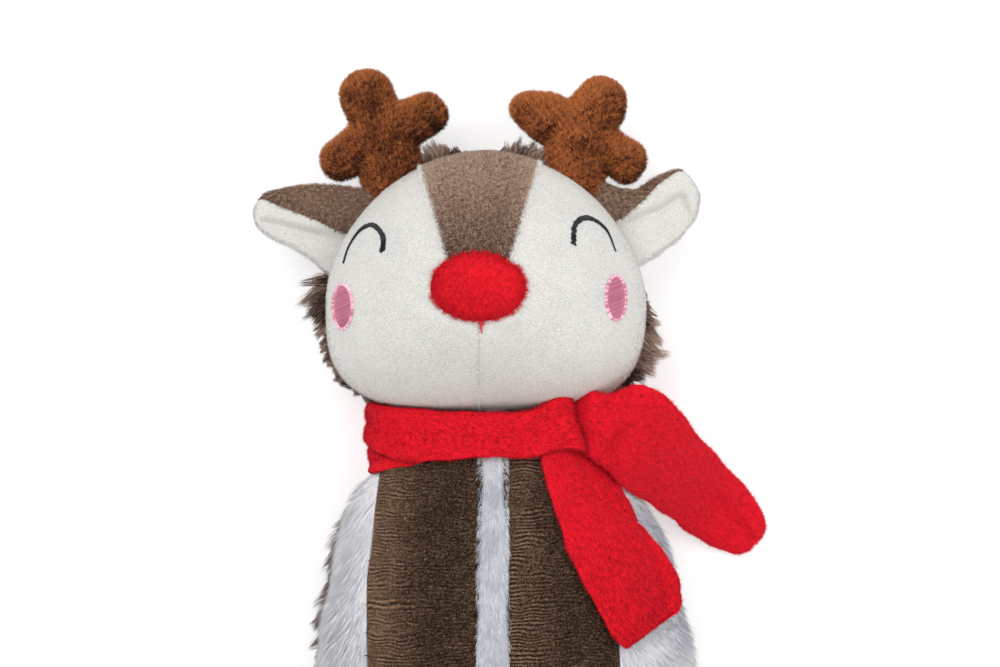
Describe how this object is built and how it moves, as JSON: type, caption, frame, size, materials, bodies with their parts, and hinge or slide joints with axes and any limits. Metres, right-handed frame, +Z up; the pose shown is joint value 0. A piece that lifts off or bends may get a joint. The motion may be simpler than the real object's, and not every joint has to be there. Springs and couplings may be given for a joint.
{
  "type": "plush deer",
  "caption": "Stuffed deer soft toy lying on its back, with plush antlers, folded ears, a red nose, furry flanks and a two-layer scarf knotted at one shoulder.",
  "frame": {"origin": "on the ground, in the flat patch where the middle of the back rests", "axes": "+Z up out of the chest and face, +Y along the toy towards the antlers, +X to the right of someone who looks down at the face"},
  "size_m": [0.2096, 0.3824, 0.1055],
  "materials": {
    "white_plush": "matte",
    "brown_plush": "matte",
    "chest_plush": "matte",
    "brown_fur": "matte",
    "white_fur": "matte",
    "rust_plush": "matte",
    "red_plush": "matte",
    "red_fleece": "matte",
    "pink_thread": "satin",
    "black_thread": "satin",
    "stuffing": "matte"
  },
  "bodies": {
    "torso": {"torso_stuffing": "stuffing", "chest_strip": "white_fur", "chest_panel_left": "chest_plush", "chest_panel_right": "chest_plush", "side_fur_left": "white_fur", "side_fur_right": "white_fur", "back_fur_panel": "brown_fur", "scarf_band": "red_fleece", "scarf_knot": "red_fleece", "scarf_underply": "red_fleece"},
    "head": {"head_stuffing": "stuffing", "head_fur_back": "brown_fur", "face_panel_left": "white_plush", "face_panel_right": "white_plush", "forehead_panel": "brown_plush", "nose": "red_plush", "cheek_patch_left": "pink_thread", "cheek_patch_right": "pink_thread", "eye_stitch_left": "black_thread", "eye_stitch_right": "black_thread"},
    "ear_left": {"ear_left_back": "brown_plush", "ear_left_lining": "white_plush"},
    "ear_right": {"ear_right_back": "brown_plush", "ear_right_lining": "white_plush"},
    "antler_left": {"antler_left_front": "rust_plush", "antler_left_back": "rust_plush", "antler_left_stuffing": "stuffing"},
    "antler_right": {"antler_right_front": "rust_plush", "antler_right_back": "rust_plush", "antler_right_stuffing": "stuffing"},
    "long_tail": {"scarf_long_tail": "red_fleece"},
    "front_tail": {"scarf_front_tail": "red_fleece"},
    "leg_left": {"leg_left_front": "chest_plush", "leg_left_back": "brown_fur", "leg_left_stuffing": "stuffing"},
    "leg_right": {"leg_right_front": "chest_plush", "leg_right_back": "brown_fur", "leg_right_stuffing": "stuffing"}
  },
  "joints": [
    {"name": "head_nod", "type": "hinge", "parent": "torso", "child": "head", "pos_m": [0.00146, 0.091, 0.05867], "axis": [1, 0, 0], "range_deg": [0, 25]},
    {"name": "ear_left_flop", "type": "hinge", "parent": "head", "child": "ear_left", "pos_m": [-0.0552, 0.16414, 0.034], "axis": [0.1564, 0.9877, 0], "range_deg": [-20, 20], "stiffness_Nm_per_rad": 0.02},
    {"name": "ear_right_flop", "type": "hinge", "parent": "head", "child": "ear_right", "pos_m": [0.0522, 0.16322, 0.034], "axis": [0.3907, -0.9205, 0], "range_deg": [-20, 20], "stiffness_Nm_per_rad": 0.02},
    {"name": "antler_left_bend", "type": "hinge", "parent": "head", "child": "antler_left", "pos_m": [-0.03751, 0.18189, 0.0325], "axis": [1, 0, 0], "range_deg": [-15, 15], "stiffness_Nm_per_rad": 0.05},
    {"name": "antler_right_bend", "type": "hinge", "parent": "head", "child": "antler_right", "pos_m": [0.03391, 0.18189, 0.0325], "axis": [1, 0, 0], "range_deg": [-15, 15], "stiffness_Nm_per_rad": 0.05},
    {"name": "long_tail_lift", "type": "hinge", "parent": "torso", "child": "long_tail", "pos_m": [0.05235, 0.0863, 0.06463], "axis": [-0.6561, -0.7547, 0], "range_deg": [0, 70]},
    {"name": "front_tail_lift", "type": "hinge", "parent": "torso", "child": "front_tail", "pos_m": [0.0275, 0.0712, 0.06587], "axis": [-1, 0, 0], "range_deg": [0, 70]},
    {"name": "leg_left_lift", "type": "hinge", "parent": "torso", "child": "leg_left", "pos_m": [-0.0278, -0.095, 0.0395], "axis": [-1, 0, 0], "range_deg": [0, 60]},
    {"name": "leg_right_lift", "type": "hinge", "parent": "torso", "child": "leg_right", "pos_m": [0.0302, -0.095, 0.0395], "axis": [-1, 0, 0], "range_deg": [0, 60]}
  ]
}
